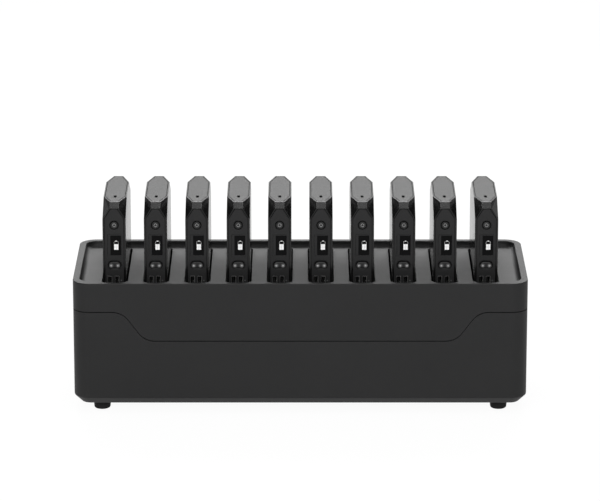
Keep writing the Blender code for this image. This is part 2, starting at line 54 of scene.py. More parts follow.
# small helpers for meshes
def meshFrom(bm, name):
    bmesh.ops.recalc_face_normals(bm, faces=bm.faces)
    mesh = bpy.data.meshes.new(name)
    bm.to_mesh(mesh)
    bm.free()
    return mesh


def paint(mesh, finish):
    mesh.materials.clear()
    mesh.materials.append(finish)


def place(name, data, finish=None):
    obj = bpy.data.objects.new(name, data)
    bpy.context.scene.collection.objects.link(obj)
    if finish:
        paint(data, finish)
    return obj


def meshOf(obj):  # as its modifiers or its curve make it
    graph = bpy.context.evaluated_depsgraph_get()
    return bpy.data.meshes.new_from_object(obj.evaluated_get(graph))


def bake(obj):  # modifiers become plain mesh
    mesh = meshOf(obj)
    obj.modifiers.clear()
    obj.data = mesh
    return obj


def camelName(words):
    first, *rest = words.replace(" ", "_").split("_")
    return first + "".join(word.capitalize() for word in rest)


def drop(obj):
    bpy.data.objects.remove(obj, do_unlink=True)


def shifted(obj, offset):
    obj.data.transform(Matrix.Translation(offset))
    return obj


def joined(name, parts):  # several objects become one mesh
    bm = bmesh.new()
    for part in parts:
        bm.from_mesh(part.data)
        drop(part)
    return place(name, meshFrom(bm, name))


def combine(obj, others, operation="DIFFERENCE"):
    for other in others:
        step = obj.modifiers.new("shape", "BOOLEAN")
        step.operation = operation
        step.object = other
        step.solver = "EXACT"
    bake(obj)
    for other in others:
        drop(other)
    return obj


def merged(name, bm):  # an object whose doubles are one point
    bmesh.ops.remove_doubles(bm, verts=bm.verts, dist=sameSpot)
    return place(name, meshFrom(bm, name))


def cleaned(obj):  # its mesh to edit, without doubles and slivers
    bm = bmesh.new()
    bm.from_mesh(obj.data)
    bmesh.ops.remove_doubles(bm, verts=bm.verts, dist=weldGap)
    bmesh.ops.dissolve_degenerate(bm, dist=sameSpot, edges=bm.edges)
    return bm


def settle(obj):  # round edges shade round, flats stay flat
    bm = cleaned(obj)
    bm.to_mesh(obj.data)
    bm.free()
    obj.data.shade_smooth()
    obj.data.set_sharp_from_angle(angle=smoothAngle)
    normals = obj.modifiers.new("normals", "WEIGHTED_NORMAL")
    normals.keep_sharp = True
    normals.weight = 100
    return bake(obj)


def finished(obj, finish, body, node=None):  # the last step of every piece
    paint(obj.data, finishes[finish])
    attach(obj, body)
    if node:
        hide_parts(node)


def ringOf(halfX, halfY, radius, steps):  # round-cornered rectangle, anticlockwise
    points = []
    for turn, (sx, sy) in enumerate(((1, -1), (1, 1), (-1, 1), (-1, -1))):
        start = -math.pi / 2 + turn * math.pi / 2
        for step in range(steps + 1):
            angle = start + math.pi / 2 * step / steps
            points.append((sx * (halfX - radius) + radius * math.cos(angle),
                           sy * (halfY - radius) + radius * math.sin(angle)))
    return points


def bridged(name, loops, around=False, lines=False):  # loops, or open lines, joined in order
    bm = bmesh.new()
    rings = [[bm.verts.new(point) for point in loop] for loop in loops]
    count = len(rings[0])
    following = rings[1:] + rings[:1] if around else rings[1:]  # closed into a ring or at both ends
    for lower, upper in zip(rings, following):
        for i in range(count - lines):
            bm.faces.new((lower[i], lower[(i + 1) % count], upper[(i + 1) % count], upper[i]))
    if not around:
        bm.faces.new(list(reversed(rings[0])))
        bm.faces.new(rings[-1])
    return merged(name, bm)


def ringSolid(name, rings, steps, centre=(0, 0)):  # rings are (halfX, halfY, radius, z)
    loops, leastRound = [], 0.05 * mm
    for halfX, halfY, radius, z in rings:
        points = ringOf(halfX, halfY, max(radius, leastRound), steps)
        loops.append([(x + centre[0], y + centre[1], z) for x, y in points])
    return bridged(name, loops)


def loft(name, sections):  # (y, outline) pairs, the outlines with as many points each
    return bridged(name, [[(x, y, z) for x, z in loop] for y, loop in sections])


def quarter(fromPoint, toPoint, bulge, steps):  # arc of (inset, z) between two points
    points = []
    for step in range(steps + 1):
        a = math.pi / 2 * step / steps
        if bulge == "side":  # leaves along z, arrives along inset
            u, v = 1 - math.cos(a), math.sin(a)
        else:
            u, v = math.sin(a), 1 - math.cos(a)
        points.append((fromPoint[0] + (toPoint[0] - fromPoint[0]) * u,
                       fromPoint[1] + (toPoint[1] - fromPoint[1]) * v))
    return points


def plate(name, loops, depth, edge=0.0, front=0.0):  # flat outlines made a plate from y = front back
    curve = bpy.data.curves.new(name, "CURVE")
    curve.dimensions = "2D"
    curve.fill_mode = "BOTH"
    curve.extrude = depth / 2 - edge
    curve.bevel_depth = edge
    curve.bevel_resolution = 2
    curve.offset = -edge
    for loop in loops:
        spline = curve.splines.new("POLY")
        spline.points.add(len(loop) - 1)
        for point, (x, z) in zip(spline.points, loop):
            point.co = (x, z, 0, 1)
        spline.use_cyclic_u = True
    drawn = place(name, curve)
    mesh = meshOf(drawn)
    drop(drawn)
    mesh.transform(Matrix.Translation((0, depth / 2, 0)) @ Matrix.Rotation(math.pi / 2, 4, "X"))
    bm = bmesh.new()
    bm.from_mesh(mesh)
    return shifted(merged(name, bm), (0, front, 0))


def box2d(width, height, centre=(0, 0), radius=0.0, steps=4):
    x, z = width / 2, height / 2
    loop = ringOf(x, z, radius, steps) if radius else [(-x, -z), (x, -z), (x, z), (-x, z)]
    return [(centre[0] + a, centre[1] + b) for a, b in loop]


def mirrored(right):  # an outline from its right half
    return right + [(-x, z) for x, z in reversed(right)]


def circle2d(diameter, centre, steps=32):
    return [(centre[0] + diameter / 2 * math.cos(2 * math.pi * i / steps),
             centre[1] + diameter / 2 * math.sin(2 * math.pi * i / steps)) for i in range(steps)]


def pill2d(width, height, centre, steps=12):
    flat = 0.01 * mm  # left between the quarters of its ends
    return box2d(width, height, centre, height / 2 - flat, steps)


def turned(name, profile, steps=40):  # (radius, z) from axis to axis, or back to its first point
    turns = [2 * math.pi * step / steps for step in range(steps)]
    lines = [[(r * math.cos(a), r * math.sin(a), z) for r, z in profile] for a in turns]
    return bridged(name, lines, around=True, lines=True)


def toFront(obj, spot):  # what was turned about z looks to the front, at (x, y, z)
    obj.data.transform(Matrix.Rotation(math.pi / 2, 4, "X"))
    return shifted(obj, spot)


# finishes
def wire(tree, source, target):  # source is a socket or a number
    if isinstance(source, (int, float)):
        target.default_value = source
    else:
        tree.links.new(source, target)


def calc(tree, operation, *values):
    node = tree.nodes.new("ShaderNodeMath")
    node.operation = operation
    for target, value in zip(node.inputs, values):
        wire(tree, value, target)
    return node.outputs[0]


plainLook = {  # what a finish has where its look says nothing else
    "metallic": 0,
    "specular": 0.5,
    "glow": 0,
    "stretch": None,
    "cloudScale": 14,
    "cloudDetail": 4,
    "toneSpan": (0.3, 0.7),
    "rubScale": 60,
    "rubDetail": 3,
    "glossVary": 0.03,
    "grain": 0.1,
    "grainScale": 1800,
    "grainDetail": 2,
    "grainHeight": 0.1 * mm,
}


def noise(tree, where, scale, detail):
    node = tree.nodes.new("ShaderNodeTexNoise")
    node.inputs["Scale"].default_value = scale
    node.inputs["Detail"].default_value = detail
    wire(tree, where, node.inputs["Vector"])
    return node.outputs["Fac"]


def grained(name, ownLook):  # a surface whose colour, gloss and grain vary a little
    look = {**plainLook, **ownLook}
    finish = bpy.data.materials.new(name)
    finish.use_nodes = True
    tree = finish.node_tree
    shader = tree.nodes["Principled BSDF"]
    shader.inputs["Metallic"].default_value = look["metallic"]
    shader.inputs["Specular IOR Level"].default_value = look["specular"]
    if look["glow"]:
        shader.inputs["Emission Color"].default_value = (*look["colour"], 1)
        shader.inputs["Emission Strength"].default_value = look["glow"]
    where = tree.nodes.new("ShaderNodeTexCoord").outputs["Object"]
    if look["stretch"]:
        mapping = tree.nodes.new("ShaderNodeMapping")
        mapping.inputs["Scale"].default_value = look["stretch"]
        wire(tree, where, mapping.inputs["Vector"])
        where = mapping.outputs["Vector"]
    tones = tree.nodes.new("ShaderNodeValToRGB")
    shades = (1 - look["vary"], 1 + look["vary"])
    for element, spot, shade in zip(tones.color_ramp.elements, look["toneSpan"], shades):
        element.position = spot
        element.color = (*[channel * shade for channel in look["colour"]], 1)
    wire(tree, noise(tree, where, look["cloudScale"], look["cloudDetail"]), tones.inputs["Fac"])
    wire(tree, tones.outputs["Color"], shader.inputs["Base Color"])
    gloss = tree.nodes.new("ShaderNodeMapRange")
    gloss.inputs["To Min"].default_value = look["roughness"] - look["glossVary"]
    gloss.inputs["To Max"].default_value = look["roughness"] + look["glossVary"]
    wire(tree, noise(tree, where, look["rubScale"], look["rubDetail"]), gloss.inputs["Value"])
    wire(tree, gloss.outputs["Result"], shader.inputs["Roughness"])
    bump = tree.nodes.new("ShaderNodeBump")
    bump.inputs["Strength"].default_value = look["grain"]
    bump.inputs["Distance"].default_value = look["grainHeight"]
    wire(tree, noise(tree, where, look["grainScale"], look["grainDetail"]), bump.inputs["Height"])
    wire(tree, bump.outputs["Normal"], shader.inputs["Normal"])
    finish.diffuse_color = (*look["colour"], 1)
    return finish


looks = {
    "housing": {"colour": (0.013, 0.013, 0.0133), "vary": 0.05, "roughness": 0.55, "specular": 0.21},
    "inner": {"colour": (0.008, 0.008, 0.008), "vary": 0.1, "roughness": 0.55, "specular": 0.15},
    "case": {"colour": (0.005, 0.005, 0.0051), "vary": 0.06, "roughness": 0.2, "specular": 0.31,
             "grain": 0.02},
    "panel": {"colour": (0.013, 0.013, 0.0133), "vary": 0.05, "roughness": 0.5, "specular": 0.2},
    "key": {"colour": (0.012, 0.012, 0.0122), "vary": 0.05, "roughness": 0.45, "specular": 0.3},
    "window": {"colour": (0.002, 0.002, 0.0022), "vary": 0.1, "roughness": 0.12, "specular": 0.06,
               "grain": 0, "glossVary": 0.02},
    "rubber": {"colour": (0.012, 0.012, 0.012), "vary": 0.15, "roughness": 0.72, "specular": 0.15,
               "grain": 0.3, "grainScale": 900},
    "steel": {"colour": (0.55, 0.55, 0.56), "vary": 0.06, "roughness": 0.32, "metallic": 1,
              "stretch": (1, 30, 30), "grain": 0.05},
    "nickel": {"colour": (0.62, 0.6, 0.57), "vary": 0.05, "roughness": 0.25, "metallic": 1,
               "grain": 0.03},
    "sleeve": {"colour": (0.3, 0.3, 0.3), "vary": 0.1, "roughness": 0.38, "metallic": 1, "grain": 0.03},
    "board": {"colour": (0.008, 0.05, 0.024), "vary": 0.25, "roughness": 0.38, "cloudScale": 90,
              "grain": 0.15, "grainScale": 500},
    "screw": {"colour": (0.08, 0.08, 0.083), "vary": 0.1, "roughness": 0.35, "metallic": 1,
              "grain": 0.05},
    "print": {"colour": (0.075, 0.075, 0.075), "vary": 0.06, "roughness": 0.45, "specular": 0.3,
              "grain": 0},
    "ring": {"colour": (0.22, 0.22, 0.22), "vary": 0.06, "roughness": 0.4, "specular": 0.3,
             "grain": 0},
    # the bright colour of the key cores is a painted highlight in the middle of each key mark
    "mark": {"colour": (0.34, 0.34, 0.34), "vary": 0.06, "roughness": 0.3, "grain": 0},
    "lit display": {"colour": (0.68, 0.68, 0.68), "vary": 0.02, "roughness": 0.4, "grain": 0,
                    "glow": 0.12},
}
finishes = {name: grained(name + " finish", look) for name, look in looks.items()}
print("finishes made:", len(finishes))


# rows of copies by geometry nodes
def rowTree():
    tree = bpy.data.node_groups.new("row of copies", "GeometryNodeTree")
    face, kind = tree.interface, "NodeSocket"
    sockets = {}
    for label, ending in (("Geometry", "Geometry"), ("Source", "Object"), ("Count", "Int"),
                          ("First", "Vector"), ("Step", "Vector"), ("Finish", "Material")):
        sockets[label] = face.new_socket(label, in_out="INPUT", socket_type=kind + ending).identifier
    face.new_socket("Geometry", in_out="OUTPUT", socket_type=kind + "Geometry")
    start = tree.nodes.new("NodeGroupInput")
    line = tree.nodes.new("GeometryNodeMeshLine")
    line.mode = "OFFSET"
    source = tree.nodes.new("GeometryNodeObjectInfo")
    spread = tree.nodes.new("GeometryNodeInstanceOnPoints")
    real = tree.nodes.new("GeometryNodeRealizeInstances")
    coat = tree.nodes.new("GeometryNodeSetMaterial")
    end = tree.nodes.new("NodeGroupOutput")
    for giver, output, taker, entry in (
            (start, "Count", line, "Count"), (start, "First", line, "Start Location"),
            (start, "Step", line, "Offset"), (start, "Source", source, "Object"),
            (line, "Mesh", spread, "Points"), (source, "Geometry", spread, "Instance"),
            (spread, "Instances", real, "Geometry"), (real, "Geometry", coat, "Geometry"),
            (start, "Finish", coat, "Material"), (coat, "Geometry", end, "Geometry")):
        wire(tree, giver.outputs[output], taker.inputs[entry])
    return tree, sockets


rowNodes, rowSockets = rowTree()


def row(name, source, count, first, step, finish):
    obj = place(name, bpy.data.meshes.new(name))
    copies = obj.modifiers.new("row", "NODES")
    copies.node_group = rowNodes
    for label, value in (("Source", source), ("Count", count), ("First", first), ("Step", step),
                         ("Finish", finishes[finish])):
        copies[rowSockets[label]] = value
    bake(obj)
    drop(source)
    return obj


# station housing
shell = {
    "corner": 20 * mm,
    "cornerSteps": 16,
    "rimWidth": 8 * mm,
    "rimFront": 3.5 * mm,  # how much broader it is at the front
    "rimRound": 0.85 * mm,  # outer edge of the rim
    "rimInnerRound": 1 * mm,
    "deckDrop": 7 * mm,
    "cove": 5.6 * mm,
    "draft": 0.3 * mm,  # of the wall round the deck
    "deckThick": 3 * mm,
    "skirt": 3 * mm,
    "slotWidth": 30.5 * mm,
    "slotFront": 4.9 * mm,  # behind the front face
    "slotBack": 13.1 * mm,  # before the back face
    "slotCorner": 8 * mm,
    "slotRound": 0.4 * mm,
    "slotEdgeIn": 4 * mm,  # edges nearer the outline aren't a slot's
    "pitch": 48 * mm,
    "partingLow": 69.5 * mm,  # below the rim
    "partingHigh": 34.7 * mm,
    "partingX": 193.4 * mm,
    "partingAngle": math.radians(53),
    "partingFillet": 23 * mm,
    "partingGap": 0.9 * mm,
    "partingRound": 0.3 * mm,
    "partingOff": 20 * mm,  # at least, from base and rim
    "partingTurn": (1, 2.2),  # angles of its edges, in radians
    "lipHeight": 5 * mm,
    "lipInset": 3.3 * mm,
    "wall": 5.3 * mm,
    "floor": 4 * mm,
    "chamfer": 9 * mm,
    "chamferRound": 1.2 * mm,
}
deckTop = rimTop - shell["deckDrop"]


def outlineSolid(name, profile, front=0):  # of (inset, z) pairs, the front broader by front
    rings = [(halfWidth - inset, halfDepth - front / 2 - inset, shell["corner"] - inset, z)
             for inset, z in profile]
    return ringSolid(name, rings, shell["cornerSteps"], (0, front / 2))


def insetOf(point):  # how far a point lies inside the station's outline
    x = abs(point.x) - halfWidth + shell["corner"]
    y = abs(point.y) - halfDepth + shell["corner"]
    outside = math.hypot(max(x, 0), max(y, 0)) + min(max(x, y), 0)
    return shell["corner"] - outside


def filleted(corners, radius, steps=10):
    path = [corners[0]]
    for before, corner, after in zip(corners, corners[1:], corners[2:]):
        here = Vector(corner)
        back, onward = (Vector(before) - here).normalized(), (Vector(after) - here).normalized()
        half = back.angle(onward) / 2
        centre = here + (back + onward).normalized() * radius / math.sin(half)
        first = here + back * radius / math.tan(half)
        last = here + onward * radius / math.tan(half)
        path.append(tuple(first))
        for step in range(1, steps):
            spoke = (first - centre).lerp(last - centre, step / steps).normalized() * radius
            path.append(tuple(centre + spoke))
        path.append(tuple(last))
    path.append(corners[-1])
    return path


def partingCutter(shift, level):  # all between the parting line and a level, flat in the back half
    low, high = rimTop - shell["partingLow"] + shift, rimTop - shell["partingHigh"] + shift
    run = (high - low) / math.tan(shell["partingAngle"]) / 2
    far, behind = halfWidth + over, halfDepth + over
    inner, outer = shell["partingX"] - run, shell["partingX"] + run
    corners = [(-far, high), (-outer, high), (-inner, low), (inner, low), (outer, high), (far, high)]
    line = filleted(corners, shell["partingFillet"])
    closing = [(far, level), (-far, level)]
    stepped, flat = line + closing, [(x, high) for x, _ in line] + closing
    return loft("parting cut", [(-behind, stepped), (0, stepped), (0, flat), (behind, flat)])


def slotCutter():
    length = 2 * halfDepth - shell["slotFront"] - shell["slotBack"]
    middle = (shell["slotFront"] - shell["slotBack"]) / 2
    size = (shell["slotWidth"] / 2, length / 2, shell["slotCorner"])
    rings = [(*size, deckTop - shell["deckThick"] - over), (*size, rimTop + over)]
    return ringSolid("slot", rings, steps=10, centre=(0, middle))


def roundEdges(obj, chosen, radius, steps=2):  # the edges that chosen picks
    bm = cleaned(obj)
    edges = [edge for edge in bm.edges if len(edge.link_faces) == 2 and chosen(edge)]
    bmesh.ops.bevel(bm, geom=edges, offset=radius, segments=steps, profile=0.5, affect="EDGES",
                    clamp_overlap=True)
    bm.to_mesh(obj.data)
    bm.free()


def middleOf(edge):
    return (edge.verts[0].co + edge.verts[1].co) / 2


def slotEdge(edge):  # where a slot's wall meets the deck, the cove or the rim
    wallTilt, topTilt = 0.01, 0.05  # z of a wall's normal at most, of a top's at least
    walls = [face for face in edge.link_faces if abs(face.normal.z) < wallTilt]
    tops = [face for face in edge.link_faces if face.normal.z > topTilt]
    middle, slack = middleOf(edge), 0.01 * mm
    if len(walls) != 1 or len(tops) != 1 or middle.z < deckTop - sameSpot:
        return False
    fromBay = ((middle.x / shell["pitch"] + len(packNames) / 2) % 1 - 0.5) * shell["pitch"]
    return abs(fromBay) < shell["slotWidth"] / 2 + slack and insetOf(middle) > shell["slotEdgeIn"]


def partingEdge(edge):  # where a housing's outer face meets the parting gap
    middle, slack, away = middleOf(edge), 0.05 * mm, shell["partingOff"]
    if insetOf(middle) > slack or not baseLow + away < middle.z < rimTop - away:
        return False
    least, most = shell["partingTurn"]
    return least < edge.calc_face_angle() < most


def inBays(name, source, y, finish):  # one copy in each bay
    count, pitch = len(packNames), shell["pitch"]
    return row(name, source, count, ((1 - count) / 2 * pitch, y, 0), (pitch, 0, 0), finish)


def recessProfile():  # (inset, z) pairs from the deck by its cove and wall to above the rim
    inner, wide, cove = shell["rimInnerRound"], shell["rimWidth"], shell["cove"]
    toe = wide + shell["draft"]
    profile = quarter((toe + cove, deckTop), (toe, deckTop + cove), "top", steps=8)
    profile += quarter((wide, rimTop - inner), (wide - inner, rimTop), "side", steps=5)
    return profile + [(wide - inner, rimTop + over)]


def makeUpperHousing():
    gap, r = shell["partingGap"] / 2, shell["rimRound"]
    low = rimTop - shell["partingLow"] + gap
    body = outlineSolid("upperHousing", [(0, low - over)]
                        + quarter((0, rimTop - r), (r, rimTop), "side", steps=5))
    skirt = shell["skirt"]
    combine(body, [
        partingCutter(gap, low - 2 * over),
        outlineSolid("recess", recessProfile(), shell["rimFront"]),
        outlineSolid("cavity", [(skirt, low - 2 * over), (skirt, deckTop - shell["deckThick"])]),
        inBays("slots", slotCutter(), 0, "housing"),
    ])
    roundEdges(body, slotEdge, shell["slotRound"], steps=3)
    roundEdges(body, partingEdge, shell["partingRound"])
    finished(settle(body), "housing", "station", "upper_housing")


inlet = {
    "clear": 0.3 * mm,
    "flangeThick": 2 * mm,
    "flangeRound": 2 * mm,
    "edge": 0.4 * mm,
    "seatCut": 10 * mm,  # lengths of the cutters
    "holeCut": 20 * mm,
    "holeFrom": 12 * mm,  # before the back face
    "body": (28 * mm, 20 * mm),
    "bodyDepth": 18 * mm,
    "well": (24.6 * mm, 16.6 * mm),
    "wellDepth": 15.5 * mm,
    "wellCorner": 4.5 * mm,
    "pin": (2 * mm, 4 * mm),
    "pinLength": 13 * mm,
    "pinSpread": 14 * mm,
    "pinRise": 2 * mm,
}
inletLow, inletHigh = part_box("ac_inlet")
inletAt = ((inletLow.x + inletHigh.x) / 2, (inletLow.z + inletHigh.z) / 2)
inletFlange = (inletHigh.x - inletLow.x, inletHigh.z - inletLow.z)


def makeInlet():
    apart = 0.02 * mm  # keeps two faces from lying in one plane
    (x, z), thick = inletAt, inlet["flangeThick"]
    loop = box2d(*inletFlange, inletAt, inlet["flangeRound"] - inlet["clear"])
    flange = plate("mainsInlet", [loop], thick, inlet["edge"], halfDepth - thick)
    body = plate("inlet body", [box2d(*inlet["body"], inletAt)], inlet["bodyDepth"] - thick / 2,
                 front=halfDepth - inlet["bodyDepth"])
    combine(flange, [body], "UNION")
    wide, tall, cut = inlet["well"][0] / 2, inlet["well"][1] / 2, inlet["wellCorner"]
    outline = [(x - wide, z - tall), (x + wide, z - tall), (x + wide, z + tall - cut),
               (x + wide - cut, z + tall), (x - wide + cut, z + tall), (x - wide, z + tall - cut)]
    deep = inlet["wellDepth"]
    combine(flange, [plate("well", [outline], deep + over, front=halfDepth - deep)])
    finished(settle(flange), "inner", "station", "ac_inlet")
    spread, rise = inlet["pinSpread"] / 2, inlet["pinRise"]
    pins = []
    for px, pz in ((-spread, -rise), (spread, -rise), (0, rise)):
        loop = box2d(*inlet["pin"], (x + px, z + pz))
        pins.append(plate("pin", [loop], inlet["pinLength"] + apart, inlet["edge"],
                          halfDepth - deep - apart))
    finished(settle(joined("inletPins", pins)), "nickel", "station")


screw = {
    "head": 6 * mm,
    "headThick": 2 * mm,
    "headEdge": 0.5 * mm,
    "headDome": 0.12 * mm,
    "sides": 28,
    "sunk": 0.4 * mm,
    "slotRound": 0.2 * mm,
    "slot": (3.6 * mm, 0.8 * mm, 0.9 * mm),  # length, width and depth of its cross
    "bore": 6.8 * mm,
    "boreDepth": 2.6 * mm,
    "rows": (-78 * mm, 78 * mm),
    "first": -150 * mm,
    "step": 150 * mm,
    "count": 3,
}


def screwRows(name, maker, z, finish):
    first, step = screw["first"], (screw["step"], 0, 0)
    return [row(name, maker(), screw["count"], (first, y, z), step, finish) for y in screw["rows"]]


def boreCutter():
    r, deep = screw["bore"] / 2, screw["boreDepth"]
    return turned("bore", [(0, deep), (r, deep), (r, -over), (0, -over)], screw["sides"])


def screwHead():
    r, t, corner = screw["head"] / 2, screw["headThick"], screw["slotRound"]
    length, width, deep = screw["slot"]
    profile = [(0, t), (r, t), (r, screw["headEdge"]), (0.8 * r, screw["headDome"]), (0.4 * r, 0),
               (0, 0)]
    cross = [ringSolid("slot", [(a / 2, b / 2, corner, -over), (a / 2, b / 2, corner, deep)], steps=2)
             for a, b in ((length, width), (width, length))]
    return combine(turned("head", profile, screw["sides"]), cross)


def makeLowerHousing():
    gap = shell["partingGap"] / 2
    top = rimTop - shell["partingHigh"] - gap
    c, r = shell["chamfer"], shell["chamferRound"]
    body = outlineSolid("lowerHousing", [  # shares of r soften both ends of the slope
        (c + r, baseLow), (c, baseLow + 0.2 * r), (c - 0.7 * r, baseLow + 0.8 * r),
        (0.7 * r, baseLow + c - 0.8 * r), (0.2 * r, baseLow + c - 0.1 * r), (0, baseLow + c + r),
        (0, top + over)])
    lip = outlineSolid("lip", [(shell["lipInset"], baseLow + c + r),
                               (shell["lipInset"], top + shell["lipHeight"] + over)])
    combine(lip, [partingCutter(shell["lipHeight"] - gap, rimTop + over)])
    combine(body, [partingCutter(-gap, rimTop)])
    combine(body, [lip], "UNION")
    wall = shell["wall"]
    cavity = outlineSolid("cavity", [(wall, baseLow + shell["floor"]), (wall, rimTop)])
    flange, neck = ([side + 2 * inlet["clear"] for side in size]
                    for size in (inletFlange, inlet["body"]))
    seat = plate("flange seat", [box2d(*flange, inletAt, inlet["flangeRound"])], inlet["seatCut"],
                 front=halfDepth - inlet["flangeThick"] - inlet["clear"])
    hole = plate("inlet hole", [box2d(*neck, inletAt)], inlet["holeCut"],
                 front=halfDepth - inlet["holeFrom"])
    combine(body, [cavity, hole, seat, *screwRows("bores", boreCutter, baseLow, "housing")])
    roundEdges(body, partingEdge, shell["partingRound"])
    finished(settle(body), "housing", "station", "lower_housing")


def makeScrews():  # heads sunk in the underside
    lines = screwRows("screws", screwHead, baseLow + screw["sunk"], "screw")
    finished(settle(joined("baseScrews", lines)), "screw", "station")


makeUpperHousing()
makeLowerHousing()
makeScrews()
print("housings made")


foot = {
    "top": 21.7 * mm,
    "topEdge": (0.4 * mm, 0.6 * mm),  # its drop, and how far it draws in
    "toe": 19 * mm,
    "edge": 2 * mm,
    "dish": 10 * mm,
    "dishDepth": 0.8 * mm,
    "dishSlope": 0.6 * mm,
    "gap": 0.3 * mm,
}


def makeFeet():
    for name in [node for node in nodes if node.startswith("foot_")]:
        low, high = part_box(name)
        dish, deep, edge = foot["dish"] / 2, foot["dishDepth"], foot["edge"]
        top, half, (fall, draw) = baseLow - foot["gap"], foot["top"] / 2, foot["topEdge"]
        profile = [(0, deep), (dish - foot["dishSlope"], deep), (dish, 0)]
        arc = quarter((0, 0), (edge, edge), "top", steps=5)
        profile += [(foot["toe"] / 2 - edge + r, z) for r, z in arc]
        profile += [(half - fall, top - fall), (half - draw, top), (0, top)]
        obj = turned(camelName(name), profile)
        shifted(obj, ((low.x + high.x) / 2, (low.y + high.y) / 2, 0))
        finished(settle(obj), "rubber", "station", name)


makeFeet()
print("feet made")
makeInlet()
print("inlet made")


# battery packs, drawn with x = 0 at the middle, y = 0 at the front face and z = 0 at the top
case = {
    "thick": 27 * mm,
    "depth": 135 * mm,
    "height": 122 * mm,
    "neckWidth": 11 * mm,
    "neckBack": 11 * mm,
    "neckRear": 7.8 * mm,
    "neckDrop": 5 * mm,
    "shoulderDrop": 18.8 * mm,
    "shoulderBack": 36 * mm,
    "flatTurn": math.radians(0.5),  # faces that turn less are one
    "softEdge": 0.6 * mm,  # between the neck and the facets
    "edge": 0.25 * mm,
    "brim": 1.5 * mm,  # sloped border of the top face
    "brimDrop": 0.1 * mm,
    "seatRoom": 3.6 * mm,
    "seatGap": 0.4 * mm,
    "seatBevel": 0.1 * mm,
    "grooveIn": 1.4 * mm,  # line inside the border
    "grooveWide": 0.85 * mm,
    "grooveDeep": 0.8 * mm,
    "grooveOver": 0.05 * mm,
    "topPort": (3.2 * mm, 9 * mm, 1.44 * mm, 6.5 * mm),  # width, length, corner and depth
    "topPortLead": 0.15 * mm,
    "topPortBack": 34 * mm,
    "socket": 6.6 * mm,
    "socketLead": 0.4 * mm,
    "socketDepth": 11 * mm,
}


def topLoop(inset):  # octagon of the top face as (x, y), drawn in by inset
    neck, side = case["neckWidth"] / 2, case["thick"] / 2 - inset
    right = []
    for back in (case["neckBack"], case["neckRear"]):
        slope = math.atan2(case["thick"] / 2 - neck, case["shoulderBack"] - back)
        neckIn = neck + inset * (math.tan(slope) - 1 / math.cos(slope))
        near = back + inset
        right += [(neckIn, near), (side, near + (side - neckIn) / math.tan(slope))]
    right = right[:2] + [(x, case["depth"] - y) for x, y in reversed(right[2:])]
    return mirrored(right)


def packCorners():  # the right half as (x, y, z); a sloped border runs round the top face
    fall, depth, height = case["brimDrop"], case["depth"], case["height"]
    neck = (case["neckWidth"] / 2, case["neckBack"], case["neckRear"], case["neckDrop"])
    side = (case["thick"] / 2, case["shoulderBack"], case["shoulderBack"], case["shoulderDrop"])
    corners = [(x, y, 0) for x, y in topLoop(case["brim"])[:4]]
    for x, back, rear, down in (neck, side):
        share = 1 - fall / down
        corners += [(x, 0, -down), (x, depth, -down),
                    (x, back * share, -fall), (x, depth - rear * share, -fall),
                    (x, 0, down - height), (x, depth, down - height),
                    (x, back, -height), (x, depth - rear, -height)]
    return corners


def softEdges(mesh):  # the neck's side edges get the full bevel, all others a share of it
    near, far = 0.1 * mm, 1 * mm
    weights = mesh.attributes.new("bevel_weight_edge", "FLOAT", "EDGE")
    for edge in mesh.edges:
        a, b = (mesh.vertices[index].co for index in edge.vertices)
        atNeck = max(abs(a.x), abs(b.x)) < case["neckWidth"] / 2 + near and abs(a.x - b.x) < near
        soft = atNeck and abs(a.y - b.y) > far and abs(a.z - b.z) > far
        weights.data[edge.index].value = 1 if soft else case["edge"] / case["softEdge"]


def seatCutter():  # for the panel, wider at the front face
    gap, bevel = case["seatGap"], case["seatBevel"]
    steps = ((-over, gap + bevel), (0, gap + bevel), (bevel, gap), (case["seatRoom"], gap))
    return loft("panel seat", [(y, panelLoop(grow)) for y, grow in steps])


def grooveCutter():
    wide, high = case["grooveWide"], case["grooveOver"]
    steps = ((0, high), (wide / 2, -case["grooveDeep"]), (wide, high))
    return bridged("groove", [[(x, y, z) for x, y in topLoop(case["grooveIn"] + inset)]
                              for inset, z in steps], around=True)


def topPortCutter():
    (width, length, corner, deep), lead = case["topPort"], case["topPortLead"]
    rings = [(width / 2 + grow, length / 2 + grow, corner + grow, z)
             for grow, z in ((0, -deep), (0, -lead), (lead, 0), (lead, over))]
    return ringSolid("top port", rings, steps=6, centre=(0, case["topPortBack"]))


def socketCutter():  # for the charge plug
    r, lead, deep = case["socket"] / 2, case["socketLead"], case["socketDepth"]
    profile = [(0, deep), (r, deep), (r, lead), (r + lead, 0), (r + lead, -over), (0, -over)]
    return shifted(turned("socket", profile, steps=24), (0, case["depth"] / 2, -case["height"]))


def caseMesh():
    bm = bmesh.new()
    for x, y, z in packCorners():
        for sx in (1, -1):
            bm.verts.new((sx * x, y, z))
    bmesh.ops.convex_hull(bm, input=bm.verts)
    bmesh.ops.dissolve_limit(bm, angle_limit=case["flatTurn"], verts=bm.verts, edges=bm.edges)
    obj = place("case", meshFrom(bm, "case"))
    softEdges(obj.data)
    rounding = obj.modifiers.new("edges", "BEVEL")
    rounding.limit_method = "WEIGHT"
    rounding.width = case["softEdge"]
    rounding.segments = 3
    bake(obj)
    wells = [plate("well", [box2d(*port["size"], spot)], port["depth"]) for spot in portPlaces()]
    cutters = [seatCutter(), grooveCutter(), topPortCutter(), *wells, socketCutter()]
    return settle(combine(obj, cutters))


panel = {
    "border": 2.3 * mm,
    "top": 7.9 * mm,
    "topDrop": 6 * mm,
    "shoulder": 17.6 * mm,
    "in": 0.3 * mm,
    "thick": 3 * mm,
    "edge": 0.35 * mm,
    "gap": 0.25 * mm,  # besides the gap of its seat
    "buttonHole": 10.9 * mm,
    "keyHole": (16.2 * mm, 10.5 * mm),
    "lensGap": 0.2 * mm,
    "lensRound": 0.8 * mm,
    "portRound": 0.3 * mm,
}


